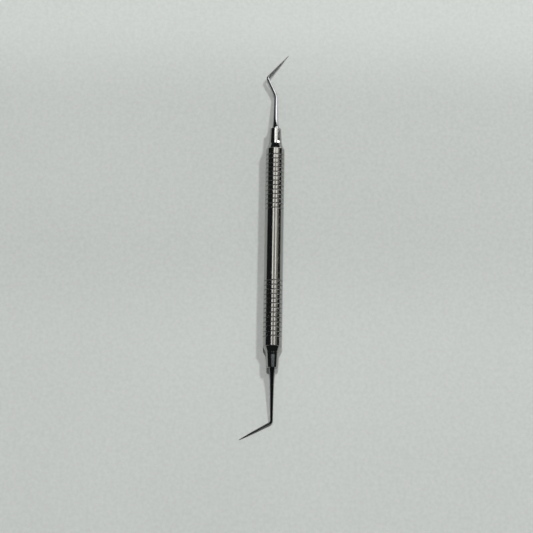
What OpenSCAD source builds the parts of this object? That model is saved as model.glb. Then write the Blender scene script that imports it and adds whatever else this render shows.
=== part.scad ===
// Double-ended scriber: a ring-grooved hollow handle, a screwed-in ferrule at each end,
// and a bent hardened point in each ferrule.
// The handle lies along Y, +Z is up, and the tool rests on the plane handle_d / 2 below the origin.
// The origin is on the handle's axis, in the middle of the plain waist.

/* [Handle] */
// Outer diameter of the handle tube
handle_d = 8.0; // [7:0.1:9]
// Bore of the handle tube
bore_d = 6.0; // [5:0.1:6.2]
// Distance between the two innermost grip grooves, which is the plain waist
waist_l = 31.8; // [20:0.2:40]
// Grooves in each of the two grip bands
groove_count = 13; // [6:1:16]
// Distance from one grip groove to the next
groove_pitch = 2.0; // [1.6:0.1:2]
// Width of a grip groove at the surface
groove_w = 0.5; // [0.3:0.05:0.9]
// Depth of a grip groove
groove_depth = 0.22; // [0.1:0.02:0.4]
// Plain length past the outermost groove at the upper end
upper_land = 2.9; // [1:0.1:5]
// Plain length past the outermost groove at the lower end
lower_land = 4.2; // [1:0.1:5]
// Bevel on the tube's two ends
tube_bevel = 0.15; // [0.05:0.05:0.3]

/* [End bushes] */
// Length of the cone that shows past the tube
cone_l = 2.4; // [1.5:0.1:4]
// Length of the plug that is pressed into the tube
plug_l = 9.0; // [8.5:0.5:12]
// Diameter of the tapped hole, over its wall
tapped_d = 3.08; // [3.06:0.02:3.2]
// Depth of the tapped hole from the cone's small face
tapped_depth = 8.5; // [8.2:0.1:10]

/* [Ferrules] */
// Ferrule diameter where it meets the cone
ferrule_base_d = 5.7; // [5.4:0.1:7]
// Ferrule diameter at its outer end
ferrule_nose_d = 4.8; // [3.6:0.1:5]
// Length of the upper ferrule outside the handle
upper_ferrule_l = 7.05; // [5:0.05:10]
// Length of the lower ferrule outside the handle
lower_ferrule_l = 6.55; // [5:0.05:10]
// Length over which the ferrule flares out to meet the cone
ferrule_flare_l = 2.2; // [1:0.1:3]
// Diameter of the threaded stub
stub_d = 3.0; // [3:0.02:3.04]
// Length of the threaded stub
stub_l = 7.3; // [6:0.1:8]
// Gap between a ferrule's shoulder and its bush
shoulder_gap = 0.05; // [0.02:0.01:0.1]
// Bevel on the ferrule's outer edge
ferrule_bevel = 0.2; // [0.05:0.05:0.4]

/* [Points] */
// Diameter of the tang that is pressed into the ferrule
tang_d = 1.6; // [1.2:0.1:1.8]
// Length of the tang
tang_l = 8.7; // [6:0.1:9]
// Shank radius added right at the ferrule, where the shank flares out
flare = 0.45; // [0:0.05:0.5]
// Distance over which the flare dies away
flare_l = 2.2; // [1:0.1:4]
// Sides of a point's cross-section
point_sides = 18; // [12:2:24]
// Longest step between two cross-sections of a point
point_step = 1.0; // [0.8:0.1:2]

/* [Hidden] */

steel = [0.72, 0.71, 0.69];
dark_steel = [0.42, 0.42, 0.42];
round_fn = 96;

tang_clearance = 0.3;

// Distance of the outermost groove from the middle of the waist
last_groove = waist_l / 2 + (groove_count - 1) * groove_pitch;

// Distances from the middle of the waist, at the upper end (side 1) or the lower end (side -1)
function tube_end(side) = last_groove + (side > 0 ? upper_land : lower_land);
function cone_end(side) = tube_end(side) + cone_l;
function ferrule_start(side) = cone_end(side) + shoulder_gap;
function ferrule_end(side) = ferrule_start(side) + (side > 0 ? upper_ferrule_l : lower_ferrule_l);

// Corners of the upper point's centre line, with Y counted outwards from the ferrule's end. It sags
// towards the table, kinks twice and ends in a slim needle. Each inner corner has its bend radius.
upper_corners = [[0, 0, 0], [0, 0.6, 0], [0, 15.7, -2], [-3.78, 23.9, -1.1], [5.2, 35.35, -3.9]];
upper_bends = [4, 3, 0.9];
// Radius of the upper point, by distance along it
upper_radius = [[0, 1.05], [15, 0.8], [17, 0.68], [24, 0.6], [26, 0.5],
                [35, 0.27], [36.5, 0.16], [39.6, 0.08]];

// The lower point sags until its one bend is just above the table, then its needle runs
// sideways until its end is just above the table.
lower_corners = [[0, 0, 0], [0, 0.6, 0], [0, 22.3, -3], [-13.3, 29.6, -3.86]];
lower_bends = [4, 1.3];
lower_radius = [[0, 0.98], [5, 0.88], [8, 0.84], [15, 0.7], [18.7, 0.64], [22, 0.62],
                [25.5, 0.53], [31, 0.44], [35, 0.27], [36.5, 0.16], [37.5, 0.08]];

// Puts a profile of [radius, distance along the axis] points round the Y axis
module turned(profile) {
    rotate([-90, 0, 0]) rotate_extrude($fn = round_fn) polygon(profile);
}

// Shows its children at the upper end (side 1) or mirrored to the lower end (side -1)
module at_end(side) {
    mirror([0, side < 0 ? 1 : 0, 0]) children();
}

function unit(v) = v / norm(v);

// Arc of radius r that rounds the corner b between a and c
function rounded(a, b, c, r) =
    let (back = unit(a - b), ahead = unit(c - b), turn = 180 - acos(back * ahead),
         middle = b + unit(back + ahead) * r / cos(turn / 2),
         out = unit(b + back * r * tan(turn / 2) - middle), n = max(2, ceil(turn / 9)))
    [for (i = [0:n]) middle + r * (cos(turn * i / n) * out - sin(turn * i / n) * back)];

// The corners of a point where it stands in the tool
function placed(corners, side) = [for (c = corners) [c.x, side * (ferrule_end(side) + c.y), c.z]];

// The centre line: its first corner, a rounded bend for each inner corner, its last corner
function bent(corners, bends) = [
    corners[0],
    for (i = [0:len(bends) - 1]) each rounded(corners[i], corners[i + 1], corners[i + 2], bends[i]),
    corners[len(corners) - 1]];

// The same line with no step longer than point_step
function stepped(line) = [
    for (i = [0:len(line) - 2])
        let (n = ceil(norm(line[i + 1] - line[i]) / point_step))
        for (j = [0:n - 1]) line[i] + (line[i + 1] - line[i]) * j / n,
    line[len(line) - 1]];

// Distance along the line at each of its points
function distances(line) = [
    for (i = 0, s = 0; i < len(line);
         s = s + (i + 1 < len(line) ? norm(line[i + 1] - line[i]) : 0), i = i + 1) s];

// Direction of the line at each of its points
function directions(line) = [
    for (i = [0:len(line) - 1]) unit(line[min(i + 1, len(line) - 1)] - line[max(i - 1, 0)])];

// Sideways directions that turn with the line and don't twist round it
function sideways(dirs, first) = [
    for (i = 0, n = unit(first - (first * dirs[0]) * dirs[0]); i < len(dirs);
         i = i + 1, n = i < len(dirs) ? unit(n - (n * dirs[i]) * dirs[i]) : n) n];

// A solid round bar swept along a bent line, with its radius by distance along it
module swept(corners, bends, radius) {
    line = stepped(bent(corners, bends));
    s = distances(line);
    dirs = directions(line);
    side = sideways(dirs, [1, 0, 0]);
    n = point_sides;
    rings = [for (i = [0:len(line) - 1], k = [0:n - 1])
        let (angle = 360 * k / n, r = lookup(s[i], radius) + flare * exp(-s[i] / flare_l))
        line[i] + r * cos(angle) * side[i] + r * sin(angle) * cross(dirs[i], side[i])];
    last = (len(line) - 1) * n;
    walls = [for (i = [0:len(line) - 2], k = [0:n - 1])
        each [[i * n + k, (i + 1) * n + k, i * n + (k + 1) % n],
              [i * n + (k + 1) % n, (i + 1) * n + k, (i + 1) * n + (k + 1) % n]]];
    caps = [[for (k = [0:n - 1]) k], [for (k = [n - 1:-1:0]) last + k]];
    polyhedron(rings, concat(walls, caps), convexity = 6);
}

// Tang of a point, from just inside the shank down the ferrule's bore
module tang(side) {
    start = ferrule_end(side) - tang_l;
    end = ferrule_end(side) + tang_clearance;
    at_end(side) turned([[0, start], [tang_d / 2, start], [tang_d / 2, end], [0, end]]);
}

module handle_tube() {
    r = handle_d / 2;
    top = tube_end(1);
    bottom = -tube_end(-1);
    // Places of all grooves along the handle, lowest first
    upper = [for (i = [0:groove_count - 1]) waist_l / 2 + i * groove_pitch];
    all = concat([for (i = [groove_count - 1:-1:0]) -upper[i]], upper);
    outside = [for (y = all) each [[r, y - groove_w / 2], [r - groove_depth, y - groove_w / 5],
                                   [r - groove_depth, y + groove_w / 5], [r, y + groove_w / 2]]];
    color(steel) turned(concat(
        [[bore_d / 2, bottom], [r - tube_bevel, bottom], [r, bottom + tube_bevel]],
        outside,
        [[r, top - tube_bevel], [r - tube_bevel, top], [bore_d / 2, top]]));
}

// Bush that closes the tube: a pressed-in plug with a cone that shows, tapped down its middle
module bush(side) {
    tube = tube_end(side);
    cone = cone_end(side);
    tap = cone - tapped_depth;
    at_end(side) turned([
        [0, tube - plug_l], [bore_d / 2, tube - plug_l], [bore_d / 2, tube],
        [handle_d / 2 - tube_bevel, tube], [ferrule_base_d / 2, cone],
        [tapped_d / 2, cone], [tapped_d / 2, tap], [0, tap - tapped_d / 4]]);
}

// Ferrule: a slim tapered nose with a threaded stub behind it and a bore for the point's tang
module ferrule(side) {
    start = ferrule_start(side);
    end = ferrule_end(side);
    bore_end = end - tang_l - tang_clearance;
    // The flare falls by two thirds of its height in its first half
    flare_r = ferrule_nose_d / 2 + (ferrule_base_d - ferrule_nose_d) * 0.3;
    at_end(side) turned([
        [0, start - stub_l], [stub_d / 2, start - stub_l], [stub_d / 2, start],
        [ferrule_base_d / 2, start], [(ferrule_base_d / 2 + 2 * flare_r) / 3, start + ferrule_flare_l / 2],
        [flare_r, start + ferrule_flare_l], [ferrule_nose_d / 2, end - ferrule_bevel],
        [ferrule_nose_d / 2 - ferrule_bevel, end],
        [tang_d / 2, end], [tang_d / 2, bore_end], [0, bore_end]]);
}

module upper_bush() { color(steel) bush(1); }
module lower_bush() { color(steel) bush(-1); }
module upper_ferrule() { color(steel) ferrule(1); }
module lower_ferrule() { color(steel) ferrule(-1); }

module upper_point() {
    color(dark_steel) {
        tang(1);
        swept(placed(upper_corners, 1), upper_bends, upper_radius);
    }
}

module lower_point() {
    color(dark_steel) {
        tang(-1);
        swept(placed(lower_corners, -1), lower_bends, lower_radius);
    }
}

handle_tube();
upper_bush();
lower_bush();
upper_ferrule();
lower_ferrule();
upper_point();
lower_point();
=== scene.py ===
"""Looks of the double-ended scriber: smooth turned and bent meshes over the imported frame, steel
materials, a pale table and soft studio light. Lengths are written in millimetres and multiplied by MM,
and studio distances, from TABLE_R on, are in metres."""

import bisect
import math
import bpy
from mathutils import Matrix, Vector


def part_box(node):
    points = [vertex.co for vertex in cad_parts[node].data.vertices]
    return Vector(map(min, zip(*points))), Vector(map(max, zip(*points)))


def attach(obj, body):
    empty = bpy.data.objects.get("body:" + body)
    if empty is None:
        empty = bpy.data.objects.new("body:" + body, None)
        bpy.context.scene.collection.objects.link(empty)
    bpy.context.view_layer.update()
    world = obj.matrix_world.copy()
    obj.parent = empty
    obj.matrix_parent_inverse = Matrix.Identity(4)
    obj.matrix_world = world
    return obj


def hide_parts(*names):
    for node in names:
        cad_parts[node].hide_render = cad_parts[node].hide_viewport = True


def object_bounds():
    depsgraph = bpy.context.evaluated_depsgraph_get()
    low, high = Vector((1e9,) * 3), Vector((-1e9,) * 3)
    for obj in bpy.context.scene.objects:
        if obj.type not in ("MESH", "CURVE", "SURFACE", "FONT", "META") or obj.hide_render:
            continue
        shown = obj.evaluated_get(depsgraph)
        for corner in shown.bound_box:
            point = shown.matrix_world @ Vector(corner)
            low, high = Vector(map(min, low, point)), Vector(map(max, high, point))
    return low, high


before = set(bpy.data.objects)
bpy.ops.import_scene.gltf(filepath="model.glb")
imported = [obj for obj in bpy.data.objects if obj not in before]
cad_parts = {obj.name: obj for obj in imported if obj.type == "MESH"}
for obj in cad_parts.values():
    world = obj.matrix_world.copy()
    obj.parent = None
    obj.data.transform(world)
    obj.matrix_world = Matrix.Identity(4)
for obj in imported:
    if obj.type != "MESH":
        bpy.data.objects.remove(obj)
cad_low, cad_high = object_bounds()

MM = 0.001

# ---------------------------------------------------------------- sizes read from the frame
HANDLE_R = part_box("handle_tube")[1].z / MM
FERRULE_BASE_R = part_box("upper_ferrule")[1].z / MM


class End:
    """Places along Y of one end's pieces, counted outwards from the middle of the waist."""

    def __init__(self, name, side):
        self.name = name
        self.side = side
        self.tube = self.outermost("handle_tube")
        self.cone = self.outermost(name + "_bush")
        self.plug = self.innermost(name + "_bush")
        self.ferrule = self.outermost(name + "_ferrule")
        self.stub = self.innermost(name + "_ferrule")
        self.tang = self.innermost(name + "_point")
        self.shoulder = self.cone + SHOULDER_GAP

    def outermost(self, node):
        return max(corner.y * self.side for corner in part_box(node)) / MM

    def innermost(self, node):
        return min(corner.y * self.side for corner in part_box(node)) / MM


# ---------------------------------------------------------------- handle, as in the part's source
BORE_R = 3.0
WAIST_L = 31.8
GROOVE_COUNT = 13
GROOVE_PITCH = 2.0
GROOVE_W = 0.5
GROOVE_FLOOR_W = 0.2
GROOVE_DEPTH = 0.22
TUBE_BEVEL = 0.15
GROOVE_EDGE_R = 0.06
RIM_R = 0.05
BEVEL_EDGE_R = 0.04

# ---------------------------------------------------------------- ends, as in the part's source
TAPPED_R = 1.54
TAPPED_DEPTH = 8.5
SHOULDER_GAP = 0.05
FERRULE_NOSE_R = 2.4
FERRULE_BEVEL = 0.2
FLARED_L = 2.2
FLARED_R = 2.67
STUB_R = 1.5
TANG_R = 0.8
TANG_CHAMFER = 0.15
TANG_CLEARANCE = 0.3
SHANK_FLARE = 0.45
SHANK_FLARE_L = 2.2

# Thread cut in each ferrule's stub
THREAD_PITCH = 0.5
THREAD_DEPTH = 0.26
THREAD_RUN_OUT = 0.5
THREAD_STEPS_PER_TURN = 8

# Corners of the two points' centre lines, with Y counted outwards from the ferrule's end, the bend
# radius of each inner corner, and the radius by distance along the point
UPPER_CORNERS = [(0, 0, 0), (0, 0.6, 0), (0, 15.7, -2.0), (-3.78, 23.9, -1.1), (5.2, 35.35, -3.9)]
UPPER_BENDS = [4, 3, 0.9]
UPPER_RADIUS = [(0, 1.05), (15, 0.8), (17, 0.68), (24, 0.6), (26, 0.5), (35, 0.27), (36.5, 0.16),
                (39.6, 0.08)]
LOWER_CORNERS = [(0, 0, 0), (0, 0.6, 0), (0, 22.3, -3.0), (-13.3, 29.6, -3.86)]
LOWER_BENDS = [4, 1.3]
LOWER_RADIUS = [(0, 0.98), (5, 0.88), (8, 0.84), (15, 0.7), (18.7, 0.64), (22, 0.62), (25.5, 0.53),
                (31, 0.44), (35, 0.27), (36.5, 0.16), (37.5, 0.08)]

UPPER = End("upper", 1)
LOWER = End("lower", -1)

# Fineness of the meshes
TURNED_SIDES = 96
POINT_SIDES = 48
POINT_STEP = 0.3
ARC_STEP = 5.0
FILLET_STEPS = 3


# ---------------------------------------------------------------- mesh building
def filleted(outline, closed):
    """(radius, y) points of the outline of (radius, y, fillet radius) corners, with each one rounded."""
    out = []
    count = len(outline)
    for i, (r, y, fillet) in enumerate(outline):
        here = Vector((r, y))
        if fillet == 0 or (not closed and i in (0, count - 1)):
            out.append(here)
            continue
        back = Vector(outline[i - 1][:2]) - here
        ahead = Vector(outline[(i + 1) % count][:2]) - here
        half = back.angle(ahead) / 2
        reach = min(fillet / math.tan(half), 0.45 * back.length, 0.45 * ahead.length)
        back.normalize()
        ahead.normalize()
        start = here + back * reach
        end = here + ahead * reach
        support = 0.15 * reach
        out.append(start + back * support)
        for k in range(FILLET_STEPS + 1):
            t = k / FILLET_STEPS
            out.append(start * (1 - t) ** 2 + here * 2 * t * (1 - t) + end * t ** 2)
        out.append(end + ahead * support)
    return [(p.x, p.y) for p in out]


def skin(name, rings, joined=False):
    """A mesh through the rings of points, in millimetres. A ring of one point is a pole, and joined
    closes the last ring on to the first."""
    verts, faces, starts = [], [], []
    for ring in rings:
        starts.append(len(verts))
        verts += [Vector(p) * MM for p in ring]
    pairs = list(zip(range(len(rings) - 1), range(1, len(rings))))
    if joined:
        pairs.append((len(rings) - 1, 0))
    for a, b in pairs:
        m, n = len(rings[a]), len(rings[b])
        sides = max(m, n)
        for k in range(sides):
            nxt = (k + 1) % sides
            quad = [starts[a] + k % m, starts[b] + k % n, starts[b] + nxt % n, starts[a] + nxt % m]
            faces.append(list(dict.fromkeys(quad)))
    mesh = bpy.data.meshes.new(name)
    mesh.from_pydata(verts, [], faces)
    mesh.validate()
    piece = bpy.data.objects.new(name, mesh)
    bpy.context.scene.collection.objects.link(piece)
    outward(mesh)
    mesh.shade_smooth()
    mesh.set_sharp_from_angle(angle=math.radians(35))
    return piece


def outward(mesh):
    """Turns the faces outwards: the volume they enclose has to be positive."""
    volume = 0.0
    for face in mesh.polygons:
        corners = [mesh.vertices[i].co for i in face.vertices]
        for k in range(1, len(corners) - 1):
            volume += corners[0].dot(corners[k].cross(corners[k + 1]))
    if volume < 0:
        mesh.flip_normals()


def ring(radius, y, side=1):
    """A ring about the Y axis, or one point on the axis where the radius is 0."""
    if radius < 1e-6:
        return [(0, y * side, 0)]
    turns = [2 * math.pi * k / TURNED_SIDES for k in range(TURNED_SIDES)]
    return [(radius * math.sin(t), y * side, radius * math.cos(t)) for t in turns]


def lathe(name, outline, side=1, joined=False):
    """A piece turned from its outline of (radius, y, fillet) corners. Side -1 makes the lower end's."""
    return skin(name, [ring(r, y, side) for r, y in filleted(outline, joined)], joined)


def dressed(piece, node, body, material):
    """Makes the piece ride, stand for its CAD node and wear its material."""
    piece.data.materials.append(material)
    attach(piece, body)
    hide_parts(node)
    return piece


# ---------------------------------------------------------------- turned pieces
def handle_tube():
    upper = [WAIST_L / 2 + i * GROOVE_PITCH for i in range(GROOVE_COUNT)]
    floor_r = HANDLE_R - GROOVE_DEPTH
    bottom, top = -LOWER.tube, UPPER.tube
    outline = [(BORE_R, bottom, RIM_R),
               (HANDLE_R - TUBE_BEVEL, bottom, BEVEL_EDGE_R),
               (HANDLE_R, bottom + TUBE_BEVEL, BEVEL_EDGE_R)]
    for y in sorted([-y for y in upper] + upper):
        outline += [(HANDLE_R, y - GROOVE_W / 2, GROOVE_EDGE_R),
                    (floor_r, y - GROOVE_FLOOR_W / 2, GROOVE_EDGE_R),
                    (floor_r, y + GROOVE_FLOOR_W / 2, GROOVE_EDGE_R),
                    (HANDLE_R, y + GROOVE_W / 2, GROOVE_EDGE_R)]
    outline += [(HANDLE_R, top - TUBE_BEVEL, BEVEL_EDGE_R),
                (HANDLE_R - TUBE_BEVEL, top, BEVEL_EDGE_R),
                (BORE_R, top, RIM_R)]
    return lathe("handle_tube_turned", outline, joined=True)


def bush(end):
    tap = end.cone - TAPPED_DEPTH
    outline = [(0, end.plug, 0), (BORE_R, end.plug, 0.25), (BORE_R, end.tube, 0),
               (HANDLE_R - TUBE_BEVEL, end.tube, 0.05), (FERRULE_BASE_R, end.cone, 0.1),
               (TAPPED_R, end.cone, 0.05), (TAPPED_R, tap, 0), (0, tap - TAPPED_R / 2, 0)]
    return lathe(end.name + "_bush_turned", outline, end.side)


def thread_ring(end, y):
    """One ring of the stub's thread: the crest follows a helix and fades out at both ends."""
    fade = min(1, (y - end.stub) / THREAD_RUN_OUT, (end.shoulder - y) / THREAD_RUN_OUT)
    points = []
    for k in range(TURNED_SIDES):
        turn = k / TURNED_SIDES
        angle = 2 * math.pi * turn
        phase = (y / THREAD_PITCH - turn * end.side) % 1
        radius = STUB_R - THREAD_DEPTH * fade * min(1, 2.4 * (1 - abs(2 * phase - 1)))
        points.append((radius * math.sin(angle), y * end.side, radius * math.cos(angle)))
    return points


def ferrule(end):
    length = end.shoulder - end.stub
    steps = round(length / THREAD_PITCH * THREAD_STEPS_PER_TURN)
    nose = [(STUB_R, end.shoulder, 0), (FERRULE_BASE_R, end.shoulder, 0.06),
            ((FERRULE_BASE_R + 2 * FLARED_R) / 3, end.shoulder + FLARED_L / 2, 0.5),
            (FLARED_R, end.shoulder + FLARED_L, 0.5),
            (FERRULE_NOSE_R, end.ferrule - FERRULE_BEVEL, 0.08),
            (FERRULE_NOSE_R - FERRULE_BEVEL, end.ferrule, 0.05), (TANG_R, end.ferrule, 0.03),
            (TANG_R, end.tang - TANG_CLEARANCE, 0), (0, end.tang - TANG_CLEARANCE, 0)]
    rings = [ring(0, end.stub, end.side)]
    rings += [thread_ring(end, end.stub + length * i / steps) for i in range(steps)]
    rings += [ring(r, y, end.side) for r, y in filleted(nose, closed=False)]
    return skin(end.name + "_ferrule_threaded", rings)


# ---------------------------------------------------------------- swept pieces
def looked_up(distance, table):
    """Value at a distance along the point, by straight lines between the table's rows."""
    places = [row[0] for row in table]
    if distance <= places[0]:
        return table[0][1]
    if distance >= places[-1]:
        return table[-1][1]
    i = bisect.bisect_right(places, distance)
    (s0, v0), (s1, v1) = table[i - 1], table[i]
    return v0 + (v1 - v0) * (distance - s0) / (s1 - s0)


def eased(distance, table, reach=0.5):
    """The same value, with the corners between the rows smoothed over the reach."""
    places = [distance + reach * k / 3 for k in range(-3, 4)]
    return sum(looked_up(s, table) for s in places) / len(places)


def rounded_corner(a, b, c, radius):
    """Arc of that radius round the corner b between a and c."""
    back = (a - b).normalized()
    ahead = (c - b).normalized()
    turn = math.pi - back.angle(ahead)
    middle = b + (back + ahead).normalized() * radius / math.cos(turn / 2)
    out = (b + back * radius * math.tan(turn / 2) - middle).normalized()
    steps = max(3, math.ceil(math.degrees(turn) / ARC_STEP))
    angles = [turn * i / steps for i in range(steps + 1)]
    return [middle + radius * (math.cos(t) * out - math.sin(t) * back) for t in angles]


def centre_line(corners, bends):
    """The bent centre line, with no step longer than POINT_STEP."""
    corners = [Vector(c) for c in corners]
    line = [corners[0]]
    for i, radius in enumerate(bends):
        line += rounded_corner(corners[i], corners[i + 1], corners[i + 2], radius)
    line.append(corners[-1])
    fine = []
    for a, b in zip(line, line[1:]):
        steps = math.ceil((b - a).length / POINT_STEP)
        fine += [a + (b - a) * k / steps for k in range(steps)]
    return fine + [line[-1]]


def section(centre, across, other, radius):
    """One round cross-section of a point."""
    angles = [2 * math.pi * k / POINT_SIDES for k in range(POINT_SIDES)]
    return [centre + across * radius * math.cos(a) + other * radius * math.sin(a) for a in angles]


def point(end, corners, bends, radius_table):
    """A point and its tang, from the tang's end inside the ferrule to the needle's sharp end."""
    line = centre_line([(x, (end.ferrule + y) * end.side, z) for x, y, z in corners], bends)
    ahead = Vector((0, end.side, 0))
    across = Vector((1, 0, 0))
    other = ahead.cross(across)
    tang_end = Vector((0, end.tang * end.side, 0))
    rings = [[tang_end],
             section(tang_end, across, other, TANG_R - TANG_CHAMFER),
             section(tang_end + ahead * TANG_CHAMFER, across, other, TANG_R),
             section(line[0], across, other, TANG_R)]
    s = 0.0
    for i, centre in enumerate(line):
        s += (centre - line[i - 1]).length if i else 0.0
        ahead = (line[min(i + 1, len(line) - 1)] - line[max(i - 1, 0)]).normalized()
        across = (across - across.dot(ahead) * ahead).normalized()
        radius = eased(s, radius_table) + SHANK_FLARE * math.exp(-s / SHANK_FLARE_L)
        rings.append(section(centre, across, ahead.cross(across), radius))
    tip_r = looked_up(s, radius_table)
    rings.append(section(line[-1] + ahead * tip_r * 0.6, across, ahead.cross(across), tip_r * 0.7))
    rings.append([line[-1] + ahead * tip_r])
    return skin(end.name + "_point_forged", rings)


# ---------------------------------------------------------------- materials
def node_material(name):
    material = bpy.data.materials.new(name)
    material.use_nodes = True
    tree = material.node_tree
    return material, tree.nodes, tree.links, tree.nodes["Principled BSDF"]


def scaled_position(nodes, links, stretch):
    """The piece's own coordinates, multiplied by stretch on each axis."""
    place = nodes.new("ShaderNodeTexCoord")
    mapping = nodes.new("ShaderNodeMapping")
    mapping.inputs["Scale"].default_value = stretch
    links.new(place.outputs["Object"], mapping.inputs["Vector"])
    return mapping.outputs["Vector"]


def noise(nodes, links, vector, detail=3.0, roughness=0.5):
    texture = nodes.new("ShaderNodeTexNoise")
    texture.inputs["Scale"].default_value = 1.0
    texture.inputs["Detail"].default_value = detail
    texture.inputs["Roughness"].default_value = roughness
    links.new(vector, texture.inputs["Vector"])
    return texture.outputs["Fac"]


def remapped(nodes, links, value, source, target):
    node = nodes.new("ShaderNodeMapRange")
    links.new(value, node.inputs["Value"])
    for name, number in zip(("From Min", "From Max", "To Min", "To Max"), (*source, *target)):
        node.inputs[name].default_value = number
    return node.outputs["Result"]


def combined(nodes, links, operation, a, b):
    node = nodes.new("ShaderNodeMath")
    node.operation = operation
    for socket, value in zip(node.inputs, (a, b)):
        if isinstance(value, (int, float)):
            socket.default_value = value
        else:
            links.new(value, socket)
    return node.outputs["Value"]


def steel(name, colour, roughness, line_stretch, line_depth, smudge, painted_groove_shade=False):
    """Steel with fine machining lines, smudges and, on the handle, duller groove floors darkened by painted
    shade.
    """
    material, nodes, links, shader = node_material(name)
    shader.inputs["Metallic"].default_value = 1.0
    lines = noise(nodes, links, scaled_position(nodes, links, line_stretch), detail=4.0, roughness=0.6)
    smudges = noise(nodes, links, scaled_position(nodes, links, (260, 160, 260)), detail=3.0)
    tone = combined(nodes, links, "ADD",
                    remapped(nodes, links, lines, (0.3, 0.7), (-0.05, 0.05)),
                    remapped(nodes, links, smudges, (0.35, 0.65), (0.96, 1.02)))
    rough = combined(nodes, links, "ADD",
                     remapped(nodes, links, lines, (0.3, 0.7), (roughness - 0.03, roughness + 0.03)),
                     remapped(nodes, links, smudges, (0.4, 0.7), (0.0, smudge)))
    if painted_groove_shade:
        depth = groove_mask(nodes, links)
        # painted shade: the groove floors are darkened to 0.6 of the steel's colour
        tone = combined(nodes, links, "MULTIPLY", tone, remapped(nodes, links, depth, (0, 1), (0.6, 1)))
        rough = combined(nodes, links, "ADD", rough, remapped(nodes, links, depth, (0, 1), (0.3, 0)))
    shade = nodes.new("ShaderNodeVectorMath")
    shade.operation = "SCALE"
    shade.inputs[0].default_value = colour
    links.new(tone, shade.inputs["Scale"])
    links.new(shade.outputs["Vector"], shader.inputs["Base Color"])
    links.new(rough, shader.inputs["Roughness"])
    bump = nodes.new("ShaderNodeBump")
    bump.inputs["Strength"].default_value = 0.5
    bump.inputs["Distance"].default_value = line_depth
    links.new(lines, bump.inputs["Height"])
    links.new(bump.outputs["Normal"], shader.inputs["Normal"])
    return material


def groove_mask(nodes, links):
    """0 on the groove floors and 1 on the lands, by distance from the handle's axis."""
    place = nodes.new("ShaderNodeTexCoord")
    flat = nodes.new("ShaderNodeVectorMath")
    flat.operation = "MULTIPLY"
    flat.inputs[1].default_value = (1, 0, 1)
    links.new(place.outputs["Object"], flat.inputs[0])
    length = nodes.new("ShaderNodeVectorMath")
    length.operation = "LENGTH"
    links.new(flat.outputs["Vector"], length.inputs[0])
    floor_r = (HANDLE_R - GROOVE_DEPTH) * MM
    return remapped(nodes, links, length.outputs["Value"], (floor_r, HANDLE_R * MM), (0, 1))


def table_material():
    """Pale painted table: faint mottling, and painted light that makes it paler beyond both ends of the
    object.
    """
    material, nodes, links, shader = node_material("table_paint")
    broad = noise(nodes, links, scaled_position(nodes, links, (9, 9, 9)), detail=2.0)
    fine = noise(nodes, links, scaled_position(nodes, links, (700, 700, 700)), detail=3.0)
    tone = combined(nodes, links, "ADD",
                    remapped(nodes, links, broad, (0.3, 0.7), (0.98, 1.02)),
                    remapped(nodes, links, fine, (0.3, 0.7), (-0.05, 0.05)))
    along = nodes.new("ShaderNodeSeparateXYZ")
    links.new(scaled_position(nodes, links, (1, 1, 1)), along.inputs["Vector"])
    # painted light: the table is made paler towards the lower end and beyond the upper end
    for source, target in TABLE_PAINTED_LIGHT:
        step = remapped(nodes, links, along.outputs["Y"], [y * MM for y in source], target)
        step.node.interpolation_type = "SMOOTHSTEP"
        tone = combined(nodes, links, "ADD", tone, step)
    shade = nodes.new("ShaderNodeVectorMath")
    shade.operation = "SCALE"
    shade.inputs[0].default_value = TABLE_COLOUR
    links.new(tone, shade.inputs["Scale"])
    links.new(shade.outputs["Vector"], shader.inputs["Base Color"])
    shader.inputs["Roughness"].default_value = 0.8
    shader.inputs["Specular IOR Level"].default_value = 0.2
    bump = nodes.new("ShaderNodeBump")
    bump.inputs["Strength"].default_value = 0.25
    bump.inputs["Distance"].default_value = 0.05 * MM
    links.new(fine, bump.inputs["Height"])
    links.new(bump.outputs["Normal"], shader.inputs["Normal"])
    return material


# ---------------------------------------------------------------- the object
TURNED_LINES = (60, 9000, 60)
DRAWN_LINES = (5000, 250, 5000)

handle_steel = steel("handle_turned_steel", (0.38, 0.376, 0.365), 0.12, TURNED_LINES, 0.004 * MM, 0.05, True)
bush_steel = steel("bush_turned_steel", (0.38, 0.376, 0.365), 0.12, TURNED_LINES, 0.004 * MM, 0.05)
ferrule_steel = steel("ferrule_polished_steel", (0.38, 0.378, 0.37), 0.11, TURNED_LINES, 0.003 * MM, 0.05)
point_steel = steel("point_drawn_steel", (0.22, 0.222, 0.23), 0.11, DRAWN_LINES, 0.004 * MM, 0.06)

dressed(handle_tube(), "handle_tube", "handle", handle_steel)
for end in (UPPER, LOWER):
    dressed(bush(end), end.name + "_bush", "handle", bush_steel)
    dressed(ferrule(end), end.name + "_ferrule", end.name + "_end", ferrule_steel)
dressed(point(UPPER, UPPER_CORNERS, UPPER_BENDS, UPPER_RADIUS), "upper_point", "upper_end",
        point_steel)
dressed(point(LOWER, LOWER_CORNERS, LOWER_BENDS, LOWER_RADIUS), "lower_point", "lower_end",
        point_steel)

# ---------------------------------------------------------------- studio
TABLE_COLOUR = (0.475, 0.495, 0.475)
# Painted light added to the table's tone between two places along Y, fading from the first value to the
# second
TABLE_PAINTED_LIGHT = [((-45, 5), (0.07, 0)), ((62, 108), (0, 0.15))]
TABLE_R = 3.0
AIR_COLOUR = (0.20, 0.20, 0.20, 1)
WALL_BRIGHTNESS = 0.5
DOME_R = 1.0
PANEL_NEARNESS = 0.95
PANEL_STEP = 4
RIM_STEP = 5


def table():
    """A wide round table top, level with the lowest place of the object."""
    rim = [Vector((TABLE_R * math.cos(a), TABLE_R * math.sin(a), cad_low.z))
           for a in (math.radians(d) for d in range(0, 360, RIM_STEP))]
    mesh = bpy.data.meshes.new("table_top")
    mesh.from_pydata(rim, [], [list(range(len(rim)))])
    top = bpy.data.objects.new("table_top", mesh)
    bpy.context.scene.collection.objects.link(top)
    mesh.materials.append(table_material())


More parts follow.
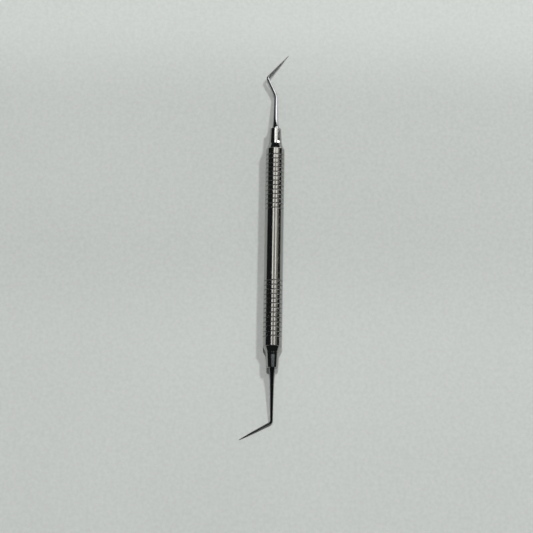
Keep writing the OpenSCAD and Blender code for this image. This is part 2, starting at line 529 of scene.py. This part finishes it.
def glow(name, brightness, tint):
    """A black surface that glows evenly."""
    material, nodes, links, shader = node_material(name)
    shader.inputs["Base Color"].default_value = (0, 0, 0, 1)
    shader.inputs["Specular IOR Level"].default_value = 0
    shader.inputs["Emission Color"].default_value = (*tint, 1)
    shader.inputs["Emission Strength"].default_value = brightness
    material.cycles.emission_sampling = "NONE"
    return material


def hidden_from_light(panel):
    """The panel neither lights nor shades anything."""
    panel.visible_diffuse = False
    panel.visible_shadow = False
    panel.visible_transmission = False
    panel.visible_volume_scatter = False


def dome_panel(name, across, along, brightness, tint=(1, 1, 1), distance=DOME_R):
    """A curved panel over the object. Across is its span in degrees round the Y axis from straight up,
    positive towards +X, and along is its span in degrees towards +Y."""
    columns = max(2, round((across[1] - across[0]) / PANEL_STEP))
    rows = max(2, round((along[1] - along[0]) / PANEL_STEP))
    verts, faces = [], []
    for i in range(rows + 1):
        b = math.radians(along[0] + (along[1] - along[0]) * i / rows)
        for j in range(columns + 1):
            a = math.radians(across[0] + (across[1] - across[0]) * j / columns)
            towards = Vector((math.cos(b) * math.sin(a), math.sin(b), math.cos(b) * math.cos(a)))
            verts.append(towards * distance)
    width = columns + 1
    for i in range(rows):
        for j in range(columns):
            k = i * width + j
            faces.append((k, k + 1, k + width + 1, k + width))
    mesh = bpy.data.meshes.new(name)
    mesh.from_pydata(verts, [], faces)
    panel = bpy.data.objects.new(name, mesh)
    bpy.context.scene.collection.objects.link(panel)
    mesh.materials.append(glow(name, brightness, tint))
    hidden_from_light(panel)
    panel.visible_camera = False


def soft_light(name, direction, distance, size, power):
    """A round soft light that casts the object's shadow and is seen in no reflection."""
    data = bpy.data.lights.new(name, "AREA")
    data.shape = "DISK"
    data.size = size
    data.energy = power
    light = bpy.data.objects.new(name, data)
    bpy.context.scene.collection.objects.link(light)
    towards = Vector(direction).normalized()
    light.location = towards * distance
    light.rotation_mode = "QUATERNION"
    light.rotation_quaternion = towards.to_track_quat("Z", "Y")
    light.visible_glossy = False


def reflections():
    """What the steel mirrors: a dark room with a few bright and grey panels, for the camera's angle."""
    warm = (1.0, 0.99, 0.95)
    olive = (1.0, 0.98, 0.86)
    cold = (0.85, 0.97, 1.0)
    dome_panel("room", (-90, 90), (-90, 90), 0.022, cold, DOME_R)
    near = DOME_R * PANEL_NEARNESS
    dome_panel("strip_left", (-16, -5), (8, 22), 2.0, warm, near)
    dome_panel("strip_between", (-5, 18), (8, 22), 0.42, olive, near)
    dome_panel("strip_right", (18, 29), (8, 22), 1.9, warm, near)
    dome_panel("wall_grey", (31, 44), (8, 22), 0.47, olive, near)
    dome_panel("wall_dim", (44, 58), (8, 22), 0.24, olive, near)
    dome_panel("ceiling", (-16, 28), (22, 30), 2.2, warm, near)
    dome_panel("ceiling_dim", (28, 42), (22, 30), 1.3, warm, near)
    dome_panel("ceiling_left", (-10, 8), (30, 43), 5.5, (1, 1, 1), near)
    dome_panel("ceiling_right", (28, 88), (30, 43), 5.5, (1, 1, 1), near)
    dome_panel("ceiling_low", (-14, 42), (1, 8), 0.34, cold, near)


def backdrop():
    """Pale wall all round the table, for low viewing angles. It shows to the camera and nowhere else."""
    radius, height = TABLE_R * 0.97, TABLE_R
    rims = [[Vector((radius * math.cos(a), radius * math.sin(a), z))
             for a in (math.radians(d) for d in range(0, 360, RIM_STEP))] for z in (cad_low.z, height)]
    count = len(rims[0])
    faces = [(k, (k + 1) % count, count + (k + 1) % count, count + k) for k in range(count)]
    mesh = bpy.data.meshes.new("backdrop")
    mesh.from_pydata(rims[0] + rims[1], [], faces)
    wall = bpy.data.objects.new("backdrop", mesh)
    bpy.context.scene.collection.objects.link(wall)
    mesh.materials.append(glow("backdrop", WALL_BRIGHTNESS, (1, 1, 1)))
    hidden_from_light(wall)
    wall.visible_glossy = False


def camera():
    """The camera looks down at a steep angle from beyond the lower end, a little to the right."""
    aim = Vector((-2.97, -9.2, 0)) * MM
    distance = 750.4 * MM
    azimuth, elevation, roll = math.radians(4), math.radians(75), math.radians(-3.24)
    back = Vector((math.sin(azimuth) * math.cos(elevation), -math.cos(azimuth) * math.cos(elevation),
                   math.sin(elevation)))
    data = bpy.data.cameras.new("camera")
    data.sensor_width = 36
    data.lens = 119.8
    data.clip_start = 0.05
    data.clip_end = 20
    cam = bpy.data.objects.new("camera", data)
    bpy.context.scene.collection.objects.link(cam)
    cam.rotation_mode = "QUATERNION"
    cam.location = aim + back * distance
    level = (-back).to_track_quat("-Z", "Y")
    cam.rotation_quaternion = Matrix.Rotation(roll, 3, back).to_quaternion() @ level
    bpy.context.scene.camera = cam


def air():
    """The pale surroundings, which fill the shadows."""
    world = bpy.data.worlds.new("air")
    bpy.context.scene.world = world
    world.use_nodes = True
    background = world.node_tree.nodes["Background"]
    background.inputs["Color"].default_value = AIR_COLOUR
    background.inputs["Strength"].default_value = 1.0


table()
backdrop()
reflections()
soft_light("main_light", (0.57, 0.6, 1.0), 2.5, 0.28, 30.8)
soft_light("second_light", (0.0, 0.28, 1.0), 2.5, 0.22, 34.6)
air()
camera()
bpy.context.scene.view_settings.view_transform = "Standard"
